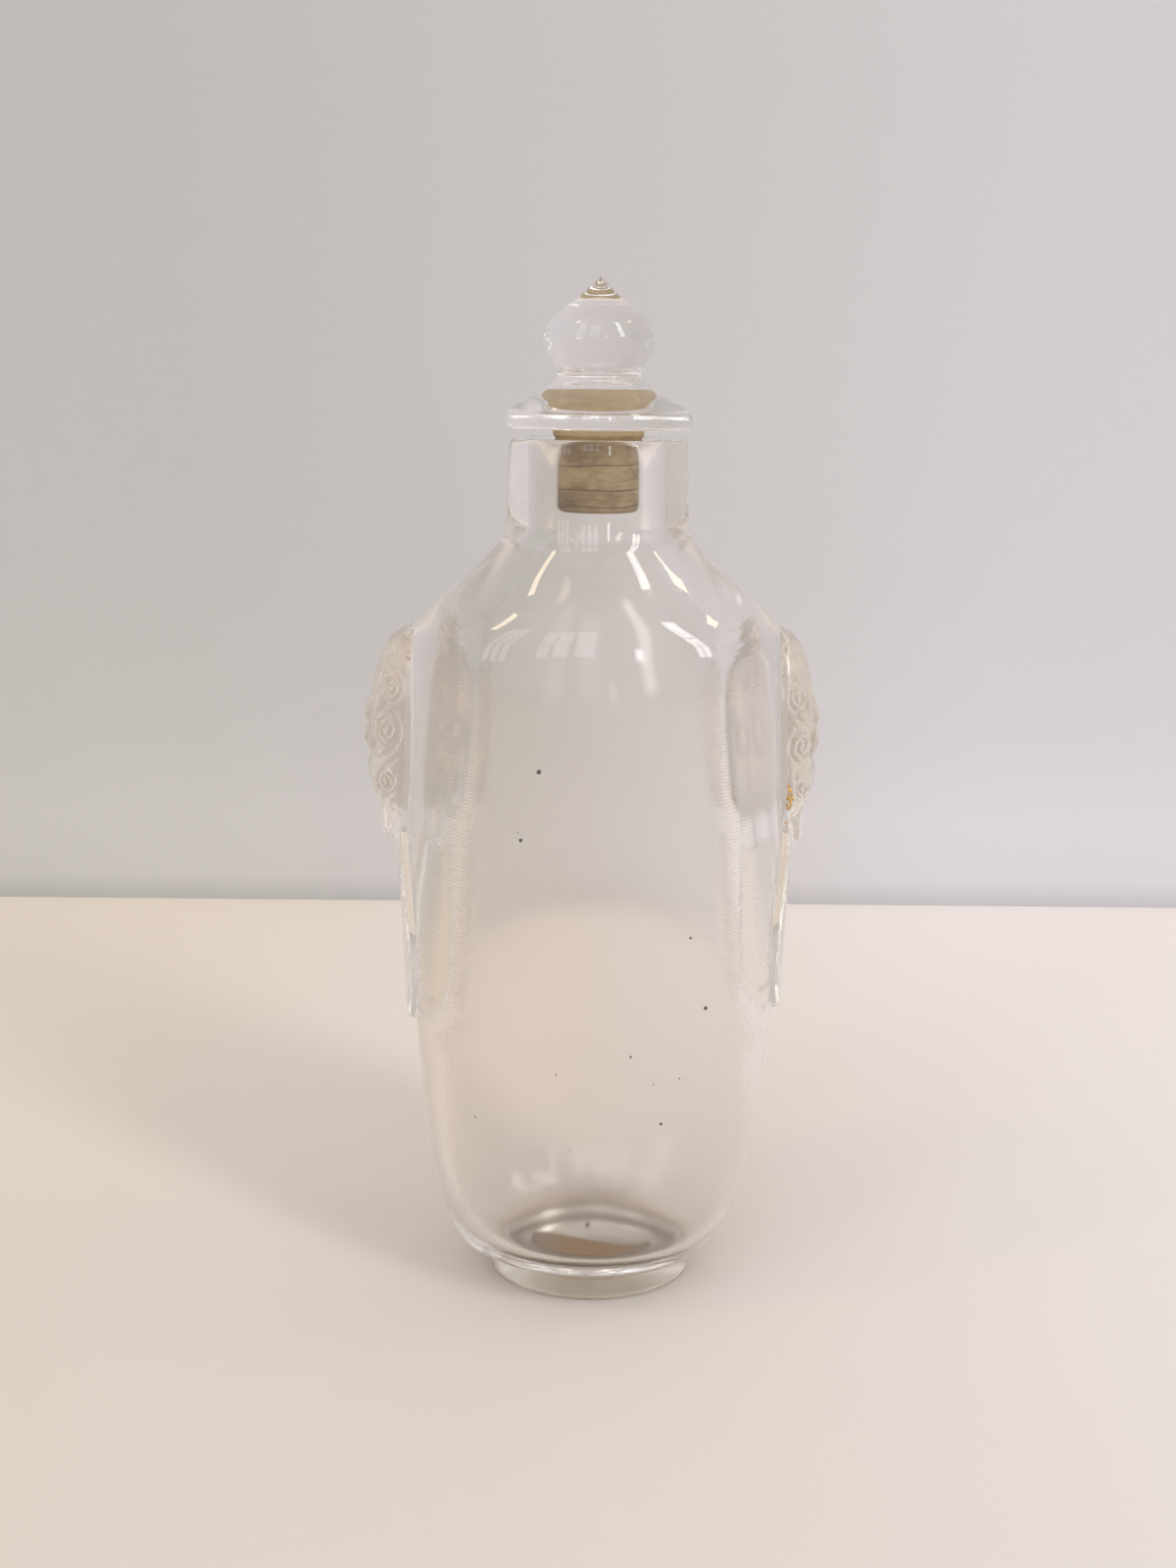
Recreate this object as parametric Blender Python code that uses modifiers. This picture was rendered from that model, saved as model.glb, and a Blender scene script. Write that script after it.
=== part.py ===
# Clear carved snuff bottle with a beast mask and a mock ring on each narrow side,
# the cork in its neck, and a turned cap with a bulb finial.
# Metres, +Z up. The origin is the centre of the foot's underside, -Y is the front.

import math

import bmesh
import bpy

# Body: an oval section that turns round at the neck, and leans a little to the left low down
LIP_HEIGHT = 0.0625
BODY_HALF_WIDTH = 0.01355
BODY_HALF_DEPTH = 0.0103
LOWER_LEAN = 0.00035
NECK_LENGTH = 0.0068
NECK_RADIUS = 0.0062
NECK_FLARE = 0.0003
LIP_RADIUS = 0.00605
LIP_ROUNDING = 0.00035

# Foot: a low oval rim round a shallow dish
FOOT_HEIGHT = 0.0021
FOOT_HALF_WIDTH = 0.0076
FOOT_HALF_DEPTH = 0.0057
FOOT_RIM_WIDTH = 0.0016
FOOT_CHAMFER = 0.0002
FOOT_RECESS = 0.0004
RECESS_SLOPE = 0.0012

# Hollow: side, face and base walls, how far it sits to the right, and the round bore
SIDE_WALL = 0.0027
FACE_WALL = 0.0020
BASE_THICKNESS = 0.0034
HOLLOW_SHIFT = 0.0002
BORE_RADIUS = 0.0031
BORE_LENGTH = 0.0062
MOUTH_CHAMFER = 0.00015

# Handles: heights and half widths of the mask and the ring, and how far they stand out
MASK_TOP = 0.0498
MASK_BOTTOM = 0.0365
MASK_HALF_WIDTH = 0.0046
MASK_CREST = 0.0017
LEFT_MASK_RELIEF = 0.00255
RIGHT_MASK_RELIEF = 0.00205
RING_HALF_WIDTH = 0.0042
RING_RELIEF = 0.00062
RING_BAND = 0.0013
RING_SINK = 0.0003
RING_TIP = 0.0013
LEFT_RING_BOTTOM = 0.0206
RIGHT_RING_BOTTOM = 0.0217
KNOB_HEIGHT = 0.0023
KNOB_HALF_WIDTH = 0.0017
CUT = 0.0001

# Cork and cap
FIT_GAP = 0.0003
CORK_DEPTH = 0.0049
CORK_HEAD_RADIUS = 0.0031
CORK_CORNER = 0.00045
CAP_LIFT = 0.00065
CAP_RADIUS = 0.00633
CAP_RIM = 0.00115
CAP_ROUNDING = 0.00022
CAP_HEIGHT = 0.0098
WAIST_RADIUS = 0.00284
BULB_RADIUS = 0.00376

# Mesh fineness
HANDLE_COLUMNS = 12
FACE_COLUMNS = 10
TURNED_STEPS = 28
HOLLOW_ROWS = 16

# Squareness of a plain oval and of the body's squarest section
SQUARENESS = (2.0, 2.4)
# Half width of the body, as a share of its widest, at shares of its height
BODY_PROFILE = (
    (0.012, 0.678), (0.04, 0.763), (0.09, 0.835), (0.17, 0.898), (0.33, 0.958), (0.50, 0.987),
    (0.65, 1.0), (0.80, 0.993), (0.86, 0.966), (0.89, 0.932), (0.911, 0.864), (0.955, 0.660),
)
# Half width and half depth of the hollow, as shares of their largest, at shares of its height
HOLLOW_WIDTHS = (
    (0.0, 0.50), (0.0056, 0.64), (0.019, 0.765), (0.049, 0.865), (0.107, 0.94), (0.20, 0.985),
    (0.316, 1.0), (0.465, 0.985), (0.60, 0.95), (0.695, 0.92), (0.786, 0.888), (0.83, 0.872),
    (0.86, 0.822), (0.881, 0.737), (0.904, 0.631), (0.9225, 0.544), (0.949, 0.438), (0.972, 0.359),
    (0.987, 0.313),
)
HOLLOW_DEPTHS = (
    (0.0, 0.56), (0.0056, 0.68), (0.019, 0.78), (0.049, 0.828), (0.107, 0.864), (0.20, 0.91),
    (0.316, 0.947), (0.465, 0.98), (0.60, 0.998), (0.695, 1.0), (0.786, 0.99), (0.83, 0.955),
    (0.86, 0.90), (0.881, 0.845), (0.904, 0.765), (0.9225, 0.685), (0.949, 0.565), (0.972, 0.46),
    (0.987, 0.40),
)
# How far the body leans, as a share of the lean, at shares of its height
LEAN_PROFILE = ((0.0, 0.0), (0.02, 0.9), (0.035, 1.0), (0.08, 0.35), (0.25, 0.2), (0.34, 0.0))
# How far the mask stands out, as a share of its relief, from chin to crown
MASK_PROFILE = (
    (0.0, 0.48), (0.04, 0.60), (0.14, 0.90), (0.25, 0.95), (0.306, 0.90), (0.36, 0.96),
    (0.48, 1.0), (0.62, 0.93), (0.75, 0.80), (0.85, 0.69), (0.94, 0.50), (1.0, 0.04),
)


def smooth_curve(stations, t):
    """Value at t of a smooth curve through a few (t, value) stations."""
    if t <= stations[0][0]:
        return stations[0][1]
    if t >= stations[-1][0]:
        return stations[-1][1]
    i = max(k for k in range(len(stations) - 1) if stations[k][0] <= t)
    slopes = []
    for k in (i, i + 1):
        before = stations[max(k - 1, 0)]
        after = stations[min(k + 1, len(stations) - 1)]
        slopes.append((after[1] - before[1]) / (after[0] - before[0]))
    span = stations[i + 1][0] - stations[i][0]
    s = (t - stations[i][0]) / span
    rise = stations[i + 1][1] - stations[i][1]
    straight = stations[i][1] + rise * s * s * (3 - 2 * s)
    return straight + span * s * (1 - s) * (slopes[0] * (1 - s) - slopes[1] * s)


def bump(distance, reach):
    """A soft hill, 1 at distance 0 and 0 from the reach on."""
    share = min(abs(distance) / reach, 1.0)
    return (1 - share * share) ** 2


def spread(low, high, count):
    """Evenly spaced heights from low towards high, without high itself."""
    return [low + (high - low) * k / count for k in range(count)]


def stretch(share, low, low_result):
    """Moves a share that runs from low to 1 so that it runs from low_result to 1."""
    return 1 - (1 - share) * (1 - low_result) / (1 - low)


def body_section(z):
    """Half width, half depth and squareness of the plain outside at a height."""
    neck_base = LIP_HEIGHT - NECK_LENGTH
    base_radius = NECK_RADIUS + NECK_FLARE
    if z >= neck_base:
        stations = (
            (neck_base, base_radius), (neck_base + 0.25 * NECK_LENGTH, NECK_RADIUS + 0.2 * NECK_FLARE),
            (neck_base + 0.5 * NECK_LENGTH, NECK_RADIUS), (LIP_HEIGHT, LIP_RADIUS),
        )
        radius = smooth_curve(stations, z)
        return radius, radius, SQUARENESS[0]
    foot_width = FOOT_HALF_WIDTH / BODY_HALF_WIDTH
    foot_depth = FOOT_HALF_DEPTH / BODY_HALF_DEPTH
    neck_width = base_radius / BODY_HALF_WIDTH
    neck_depth = base_radius / BODY_HALF_DEPTH
    share = (z - FOOT_HEIGHT) / (neck_base - FOOT_HEIGHT)
    width = smooth_curve(((0.0, foot_width),) + BODY_PROFILE + ((1.0, neck_width),), share)
    if share < 0.65:
        depth = stretch(width, foot_width, foot_depth)
        roundness = stretch(width, foot_width, 0.0)
    else:
        depth = stretch(width, neck_width, neck_depth)
        roundness = stretch(width, neck_width, 0.0)
    squareness = SQUARENESS[0] + (SQUARENESS[1] - SQUARENESS[0]) * roundness
    return BODY_HALF_WIDTH * width, BODY_HALF_DEPTH * depth, squareness


def body_lean(z):
    """Shift of the body's section in X at a height."""
    share = (z - FOOT_HEIGHT) / (LIP_HEIGHT - NECK_LENGTH - FOOT_HEIGHT)
    return -LOWER_LEAN * smooth_curve(LEAN_PROFILE, share)


def hollow_section(z):
    """Half width, half depth and squareness of the hollow at a height, and its shift in X."""
    roof = LIP_HEIGHT - BORE_LENGTH
    half_width = BODY_HALF_WIDTH - SIDE_WALL
    half_depth = BODY_HALF_DEPTH - FACE_WALL
    share = (z - BASE_THICKNESS) / (roof - BASE_THICKNESS)
    bore_width = BORE_RADIUS / half_width
    width = smooth_curve(HOLLOW_WIDTHS + ((1.0, bore_width),), share)
    depth = smooth_curve(HOLLOW_DEPTHS + ((1.0, BORE_RADIUS / half_depth),), share)
    roundness = stretch(width, bore_width, 0.0)
    return half_width * width, half_depth * depth, SQUARENESS[0], HOLLOW_SHIFT * roundness


def handle_half_width(z, ring_bottom):
    """Half width of the handle's outline at a height. It keeps the columns together elsewhere."""
    ring_length = MASK_BOTTOM - ring_bottom
    mask_length = MASK_TOP - MASK_BOTTOM
    stations = (
        (0.0, 0.35 * FOOT_HALF_DEPTH), (ring_bottom - 0.3 * ring_length, 0.6 * RING_HALF_WIDTH),
        (ring_bottom, RING_TIP), (ring_bottom + 0.06 * ring_length, 0.62 * RING_HALF_WIDTH),
        (ring_bottom + 0.2 * ring_length, 0.9 * RING_HALF_WIDTH),
        (ring_bottom + 0.5 * ring_length, RING_HALF_WIDTH), (MASK_BOTTOM, 0.8 * RING_HALF_WIDTH),
        (MASK_BOTTOM + 0.13 * mask_length, 0.9 * MASK_HALF_WIDTH),
        (MASK_BOTTOM + 0.3 * mask_length, MASK_HALF_WIDTH),
        (MASK_BOTTOM + 0.66 * mask_length, MASK_HALF_WIDTH),
        (MASK_BOTTOM + 0.88 * mask_length, 0.76 * MASK_HALF_WIDTH), (MASK_TOP, MASK_CREST),
        (MASK_TOP + 0.3 * mask_length, 0.4 * NECK_RADIUS), (LIP_HEIGHT, 0.4 * NECK_RADIUS),
    )
    return smooth_curve(stations, z)


def mask_relief(y, z, relief):
    """Height of the beast mask over the body: crown, brows, eyes, muzzle, jaw and mane curls."""
    length = MASK_TOP - MASK_BOTTOM
    up = (z - MASK_BOTTOM) / length
    across = abs(y) / MASK_HALF_WIDTH
    height = smooth_curve(MASK_PROFILE, up)
    height += 0.10 * bump(across - 0.45 - 0.5 * (up - 0.5), 0.28) * bump(up - 0.56, 0.14)
    height += 0.13 * bump(math.hypot(across - 0.42, 3.4 * (up - 0.41)), 0.27)
    height += 0.09 * bump(across, 0.32) * bump(up - 0.23, 0.13)
    height -= 0.08 * bump(across - 0.30, 0.16) * bump(up - 0.17, 0.08)
    height += 0.07 * bump(math.hypot(across - 0.78, 3.4 * (up - 0.63)), 0.30)
    height += 0.07 * bump(math.hypot(across - 0.74, 3.4 * (up - 0.20)), 0.30)
    height += 0.05 * bump(across, 0.20) * bump(up - 0.78, 0.16)
    height -= 0.06 * bump(across - 0.34, 0.18) * bump(up - 0.74, 0.14)
    return relief * height


def ring_relief(y, z, half_width, ring_bottom, knob_relief):
    """Height of the mock ring, with its sunk middle, and of the knob it hangs from."""
    edge = min(half_width - abs(y), z - ring_bottom)
    sink = RING_SINK * min(max((edge - RING_BAND) / (0.3 * RING_BAND), 0.0), 1.0)
    knob_bottom = MASK_BOTTOM - KNOB_HEIGHT
    if z < knob_bottom:
        return RING_RELIEF - sink
    knob = knob_relief * (1 - min(abs(y) / KNOB_HALF_WIDTH, 1.0) ** 3)
    return max(RING_RELIEF, knob)


def handle_relief(v, z, side):
    """How far a handle stands out of the body at share v of its half width."""
    relief = LEFT_MASK_RELIEF if side < 0 else RIGHT_MASK_RELIEF
    ring_bottom = LEFT_RING_BOTTOM if side < 0 else RIGHT_RING_BOTTOM
    if z > MASK_TOP or z < ring_bottom or abs(v) >= 1:
        return 0.0
    half_width = handle_half_width(z, ring_bottom)
    y = v * half_width
    if z < MASK_BOTTOM:
        return ring_relief(y, z, half_width, ring_bottom, 0.68 * relief)
    return mask_relief(y, z, relief) * (1 - abs(v) ** 3.2) ** 0.4


def oval_row(z, section, relief=None, shift=0.0):
    """One row of points round the bottle, with close columns on the two handles."""
    half_width, half_depth, squareness = section

    def side_points(side):
        ring_bottom = LEFT_RING_BOTTOM if side < 0 else RIGHT_RING_BOTTOM
        reach = min(handle_half_width(z, ring_bottom), 0.62 * half_depth)
        points = []
        for k in range(HANDLE_COLUMNS + 1):
            v = -math.cos(math.pi * k / HANDLE_COLUMNS)
            y = side * v * reach
            x = half_width * (1 - (abs(y) / half_depth) ** squareness) ** (1 / squareness)
            if relief and 0 < k < HANDLE_COLUMNS:
                x += relief(v, z, side)
            points.append((side * x + shift, y, z))
        return points

    def face_points(side, first, last):
        start, end = [math.asin((abs(p[1]) / half_depth) ** (squareness / 2)) for p in (first, last)]
        points = []
        for k in range(1, FACE_COLUMNS):
            angle = start + (math.pi - start - end) * k / FACE_COLUMNS
            x = half_width * math.copysign(abs(math.cos(angle)) ** (2 / squareness), math.cos(angle))
            y = side * half_depth * math.sin(angle) ** (2 / squareness)
            points.append((side * x + shift, y, z))
        return points

    right, left = side_points(1), side_points(-1)
    return right + face_points(1, right[-1], left[0]) + left + face_points(-1, left[-1], right[0])


def outside_heights():
    """Heights of the rows up the outside, closest together on the mask and at each step."""
    neck_base = LIP_HEIGHT - NECK_LENGTH
    belly = FOOT_HEIGHT + 0.17 * (neck_base - FOOT_HEIGHT)
    knob_bottom = MASK_BOTTOM - KNOB_HEIGHT
    heights = [FOOT_HEIGHT + (belly - FOOT_HEIGHT) * (k / 8) ** 2 for k in range(8)]
    low, high = sorted((LEFT_RING_BOTTOM, RIGHT_RING_BOTTOM))
    heights += spread(belly, low - CUT, 2) + [low - CUT] + spread(low, high - CUT, 2) + [high - CUT]
    heights += spread(high, high + 2 * RING_BAND, 4)
    heights += spread(high + 2 * RING_BAND, knob_bottom - CUT, 4) + [knob_bottom - CUT]
    heights += spread(knob_bottom, MASK_BOTTOM - CUT, 3) + [MASK_BOTTOM - CUT]
    heights += spread(MASK_BOTTOM, MASK_TOP, 20) + [MASK_TOP]
    heights += spread(MASK_TOP + CUT, neck_base, 9)
    heights += spread(neck_base, LIP_HEIGHT - LIP_ROUNDING, 4)
    return heights


def bottle_rows():
    """All rows of the bottle, from the dish under the foot up the outside and down the hollow."""
    def foot_row(inset, z):
        return oval_row(z, (FOOT_HALF_WIDTH - inset, FOOT_HALF_DEPTH - inset, SQUARENESS[0]))

    def round_row(radius, z):
        return oval_row(z, (radius, radius, SQUARENESS[0]))

    rows = [
        foot_row(FOOT_RIM_WIDTH + RECESS_SLOPE, FOOT_RECESS), foot_row(FOOT_RIM_WIDTH, 0.0),
        foot_row(FOOT_CHAMFER, 0.0), foot_row(0.0, FOOT_CHAMFER),
    ]
    rows += [oval_row(z, body_section(z), handle_relief, body_lean(z)) for z in outside_heights()]
    for k in range(3):
        turn = 0.5 * math.pi * k / 2
        radius = LIP_RADIUS - LIP_ROUNDING * (1 - math.cos(turn))
        rows.append(round_row(radius, LIP_HEIGHT - LIP_ROUNDING * (1 - math.sin(turn))))
    roof = LIP_HEIGHT - BORE_LENGTH
    rows += [
        round_row(BORE_RADIUS + MOUTH_CHAMFER, LIP_HEIGHT),
        round_row(BORE_RADIUS, LIP_HEIGHT - MOUTH_CHAMFER), round_row(BORE_RADIUS, roof),
    ]
    for k in range(1, HOLLOW_ROWS + 1):
        share = 0.5 + 0.5 * math.cos(math.pi * k / HOLLOW_ROWS)
        z = BASE_THICKNESS + (roof - BASE_THICKNESS) * share
        *section, shift = hollow_section(z)
        rows.append(oval_row(z, section, shift=shift))
    return rows


def loft(name, rows):
    """Closed mesh through the rows, capped at its first and last row."""
    mesh = bmesh.new()
    loops = [[mesh.verts.new(point) for point in row] for row in rows]
    count = len(loops[0])
    for lower, upper in zip(loops, loops[1:]):
        for k in range(count):
            after = (k + 1) % count
            mesh.faces.new((lower[k], lower[after], upper[after], upper[k]))
    mesh.faces.new(reversed(loops[0]))
    mesh.faces.new(loops[-1])
    return finish(name, mesh)


def finish(name, mesh):
    """Turns a bmesh into a shaded object."""
    data = bpy.data.meshes.new(name)
    mesh.to_mesh(data)
    mesh.free()
    data.shade_smooth()
    data.set_sharp_from_angle(angle=math.radians(35))
    return bpy.data.objects.new(name, data)


def turned(name, profile):
    """Solid of revolution from a profile that runs down its outer side, ends on the axis."""
    mesh = bmesh.new()
    verts = [mesh.verts.new((radius, 0.0, z)) for radius, z in profile]
    for above, below in zip(verts, verts[1:]):
        mesh.edges.new((above, below))
    obj = finish(name, mesh)
    screw = obj.modifiers.new("turn", "SCREW")
    screw.steps = TURNED_STEPS
    screw.render_steps = TURNED_STEPS
    screw.use_merge_vertices = True
    screw.merge_threshold = 0.00001
    screw.use_smooth_shade = True
    return obj


def cap_profile():
    """Outline of the cap: finial, bulb, waist, flare, rim and flat underside."""
    under = LIP_HEIGHT + CAP_LIFT
    stations = (
        (CAP_RIM, 0.97 * CAP_RADIUS), (0.168 * CAP_HEIGHT, 0.857 * CAP_RADIUS),
        (0.213 * CAP_HEIGHT, 0.705 * CAP_RADIUS), (0.26 * CAP_HEIGHT, 0.58 * CAP_RADIUS),
        (0.306 * CAP_HEIGHT, 0.51 * CAP_RADIUS), (0.345 * CAP_HEIGHT, WAIST_RADIUS),
        (0.383 * CAP_HEIGHT, 1.02 * WAIST_RADIUS), (0.444 * CAP_HEIGHT, 0.85 * BULB_RADIUS),
        (0.515 * CAP_HEIGHT, 0.96 * BULB_RADIUS), (0.592 * CAP_HEIGHT, BULB_RADIUS),
        (0.66 * CAP_HEIGHT, 0.96 * BULB_RADIUS), (0.714 * CAP_HEIGHT, 0.885 * BULB_RADIUS),
        (0.78 * CAP_HEIGHT, 0.70 * BULB_RADIUS), (0.862 * CAP_HEIGHT, 0.395 * BULB_RADIUS),
        (CAP_HEIGHT, 0.0),
    )
    points = [(0.0, under + CAP_HEIGHT)]
    for k in range(1, 22):
        height = CAP_HEIGHT + (CAP_RIM - CAP_HEIGHT) * k / 21
        points.append((smooth_curve(stations, height), under + height))
    points += [
        (CAP_RADIUS, under + CAP_RIM - CAP_ROUNDING), (CAP_RADIUS, under + CAP_ROUNDING),
        (CAP_RADIUS - CAP_ROUNDING, under), (0.0, under),
    ]
    return points


def cork_profile():
    """Outline of the cork: a head under the cap, a straight plug and rounded lower corners."""
    top = LIP_HEIGHT + CAP_LIFT - FIT_GAP
    bottom = LIP_HEIGHT - CORK_DEPTH
    plug_radius = BORE_RADIUS - FIT_GAP
    points = [
        (0.0, top), (CORK_HEAD_RADIUS, top), (0.5 * (CORK_HEAD_RADIUS + plug_radius), LIP_HEIGHT),
        (plug_radius, LIP_HEIGHT - 2 * MOUTH_CHAMFER),
    ]
    for k in range(4):
        turn = 0.5 * math.pi * k / 3
        radius = plug_radius - CORK_CORNER * (1 - math.cos(turn))
        points.append((radius, bottom + CORK_CORNER * (1 - math.sin(turn))))
    return points + [(0.0, bottom)]


def material(name, colour, roughness, transmission=0.0, ior=1.5):
    """Principled surface from its plain values."""
    surface = bpy.data.materials.new(name)
    surface.use_nodes = True
    shader = surface.node_tree.nodes["Principled BSDF"]
    shader.inputs["Base Color"].default_value = (*colour, 1.0)
    shader.inputs["Roughness"].default_value = roughness
    shader.inputs["Metallic"].default_value = 0.0
    shader.inputs["Transmission Weight"].default_value = transmission
    shader.inputs["IOR"].default_value = ior
    return surface


def build():
    for obj in list(bpy.data.objects):
        bpy.data.objects.remove(obj)
    group = bpy.data.collections.new("snuff_bottle")
    bpy.context.scene.collection.children.link(group)
    bottle = loft("bottle", bottle_rows())
    bottle.data.materials.append(material("clear_crystal", (0.95, 0.93, 0.90), 0.03, 1.0, 1.54))
    stopper = turned("stopper", cap_profile())
    stopper.data.materials.append(material("clear_cap", (0.96, 0.95, 0.94), 0.02, 1.0, 1.52))
    cork = turned("cork", cork_profile())
    cork.data.materials.append(material("tan_cork", (0.42, 0.32, 0.20), 0.85))
    for obj in (bottle, stopper, cork):
        group.objects.link(obj)


build()
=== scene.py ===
# Clear carved snuff bottle with a corked neck and a turned clear cap, on a pale table
import math

import bmesh
import bpy
import numpy as np
from mathutils import Matrix, Vector


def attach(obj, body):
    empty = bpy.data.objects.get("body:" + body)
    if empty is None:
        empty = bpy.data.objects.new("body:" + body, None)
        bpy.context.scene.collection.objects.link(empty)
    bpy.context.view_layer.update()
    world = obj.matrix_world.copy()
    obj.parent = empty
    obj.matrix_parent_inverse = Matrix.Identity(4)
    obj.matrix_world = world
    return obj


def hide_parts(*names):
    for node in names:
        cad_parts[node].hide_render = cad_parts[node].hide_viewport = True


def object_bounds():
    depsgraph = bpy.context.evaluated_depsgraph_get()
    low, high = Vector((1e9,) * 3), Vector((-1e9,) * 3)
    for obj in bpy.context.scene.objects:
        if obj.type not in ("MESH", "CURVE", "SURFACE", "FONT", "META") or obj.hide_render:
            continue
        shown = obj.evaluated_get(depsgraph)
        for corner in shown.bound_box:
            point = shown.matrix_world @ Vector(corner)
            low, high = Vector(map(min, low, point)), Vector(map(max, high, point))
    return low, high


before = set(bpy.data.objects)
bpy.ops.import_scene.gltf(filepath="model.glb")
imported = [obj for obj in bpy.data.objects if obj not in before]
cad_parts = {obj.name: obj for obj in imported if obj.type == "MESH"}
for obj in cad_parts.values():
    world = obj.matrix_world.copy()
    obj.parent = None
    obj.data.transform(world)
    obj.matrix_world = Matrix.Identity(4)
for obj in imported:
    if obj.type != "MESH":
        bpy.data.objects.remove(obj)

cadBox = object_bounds()
print("frame loaded, box", cadBox)


def smoothCurve(stations, t):
    # value at t of a smooth curve through a few (t, value) stations
    ts, vs = np.array(stations, float).T
    t = np.clip(np.asarray(t, float), ts[0], ts[-1])
    i = np.clip(np.searchsorted(ts, t, side="right") - 1, 0, len(ts) - 2)
    k = np.arange(len(ts))
    before, after = np.maximum(k - 1, 0), np.minimum(k + 1, len(ts) - 1)
    slope = (vs[after] - vs[before]) / (ts[after] - ts[before])
    span = ts[i + 1] - ts[i]
    s = (t - ts[i]) / span
    straight = vs[i] + (vs[i + 1] - vs[i]) * s * s * (3 - 2 * s)
    return straight + span * s * (1 - s) * (slope[i] * (1 - s) - slope[i + 1] * s)


def bump(distance, reach):
    # soft hill, 1 at distance 0 and 0 from the reach on
    share = np.minimum(np.abs(distance) / reach, 1.0)
    return (1 - share * share) ** 2


def roundOver(distance, width):
    # 0 at an edge, rising like a quarter round to 1 at the width
    share = np.clip(distance / width, 0.0, 1.0)
    return np.sqrt(1 - (1 - share) ** 2)


def easeIn(t, low, high):
    s = np.clip((t - low) / (high - low), 0.0, 1.0)
    return s * s * (3 - 2 * s)


def stretch(share, low, lowResult):
    return 1 - (1 - share) * (1 - lowResult) / (1 - low)


def meshObject(name, points, faces, materials):
    data = bpy.data.meshes.new(name)
    data.from_pydata([tuple(p) for p in points], [], faces)
    for m in materials:
        data.materials.append(m)
    data.shade_smooth()
    data.update()
    obj = bpy.data.objects.new(name, data)
    bpy.context.scene.collection.objects.link(obj)
    return obj


def turnOutwards(obj):
    work = bmesh.new()
    work.from_mesh(obj.data)
    bmesh.ops.recalc_face_normals(work, faces=work.faces)
    work.to_mesh(obj.data)
    work.free()


# the camera stands as for the photograph: metres, degrees and millimetres
camera = {
    "place": (-0.0005, -0.109, 0.0664),
    "pitchDown": 14.5,
    "roll": 0.55,
    "sensorHeight": 24.0,
    "focalLength": 24.0,
}


def makeCamera(c):
    data = bpy.data.cameras.new("photoCamera")
    data.sensor_fit = "VERTICAL"
    data.sensor_height = c["sensorHeight"]
    data.lens = c["focalLength"]
    data.clip_start = 0.005
    obj = bpy.data.objects.new("photoCamera", data)
    turn = Matrix.Rotation(math.radians(90 - c["pitchDown"]), 4, "X")
    obj.matrix_world = Matrix.Translation(c["place"]) @ turn @ Matrix.Rotation(math.radians(c["roll"]), 4, "Z")
    bpy.context.scene.collection.objects.link(obj)
    bpy.context.scene.camera = obj


makeCamera(camera)


def newMaterial(name, baseColor, roughness):
    m = bpy.data.materials.new(name)
    m.use_nodes = True
    shader = m.node_tree.nodes["Principled BSDF"]
    shader.inputs["Base Color"].default_value = (*baseColor, 1.0)
    shader.inputs["Roughness"].default_value = roughness
    return m, m.node_tree, shader


def addNode(tree, kind, **values):
    node = tree.nodes.new(kind)
    for key, value in values.items():
        setattr(node, key, value)
    return node


def objectCoords(tree, scale=(1.0, 1.0, 1.0)):
    coords = addNode(tree, "ShaderNodeTexCoord")
    mapping = addNode(tree, "ShaderNodeMapping")
    mapping.inputs["Scale"].default_value = scale
    tree.links.new(coords.outputs["Object"], mapping.inputs["Vector"])
    return mapping.outputs["Vector"]


def splitCoords(tree, scale=(1.0, 1.0, 1.0)):
    split = addNode(tree, "ShaderNodeSeparateXYZ")
    tree.links.new(objectCoords(tree, scale), split.inputs[0])
    return split


def mapRange(tree, value, fromMin, fromMax, toMin=0.0, toMax=1.0, **values):
    node = addNode(tree, "ShaderNodeMapRange", **values)
    for name, limit in (("From Min", fromMin), ("From Max", fromMax), ("To Min", toMin), ("To Max", toMax)):
        node.inputs[name].default_value = limit
    tree.links.new(value, node.inputs["Value"])
    return node.outputs["Result"]


def mixColors(tree, share, first, second, **values):
    # each of the three is a socket or a plain value
    node = addNode(tree, "ShaderNodeMix", data_type="RGBA", **values)
    for name, value in (("Factor", share), ("A", first), ("B", second)):
        if isinstance(value, bpy.types.NodeSocket):
            tree.links.new(value, node.inputs[name])
        else:
            node.inputs[name].default_value = value
    return node.outputs["Result"]


def ramp(tree, value, stops):
    node = addNode(tree, "ShaderNodeValToRGB")
    while len(node.color_ramp.elements) < len(stops):
        node.color_ramp.elements.new(0.5)
    for element, (place, color) in zip(node.color_ramp.elements, stops):
        element.position = place
        element.color = (*color, 1.0)
    tree.links.new(value, node.inputs["Fac"])
    return node.outputs["Color"]


def noise(tree, vector, scale, detail=3.0):
    node = addNode(tree, "ShaderNodeTexNoise")
    node.inputs["Scale"].default_value = scale
    node.inputs["Detail"].default_value = detail
    tree.links.new(vector, node.inputs["Vector"])
    return node.outputs["Fac"]


def mathNode(tree, operation, *values):
    node = addNode(tree, "ShaderNodeMath", operation=operation)
    for socket, value in zip(node.inputs, values):
        if isinstance(value, (int, float)):
            socket.default_value = value
        else:
            tree.links.new(value, socket)
    return node.outputs[0]


def addBump(tree, shader, height, strength, distance):
    node = addNode(tree, "ShaderNodeBump")
    node.inputs["Strength"].default_value = strength
    node.inputs["Distance"].default_value = distance
    tree.links.new(height, node.inputs["Height"])
    tree.links.new(node.outputs["Normal"], shader.inputs["Normal"])


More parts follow.
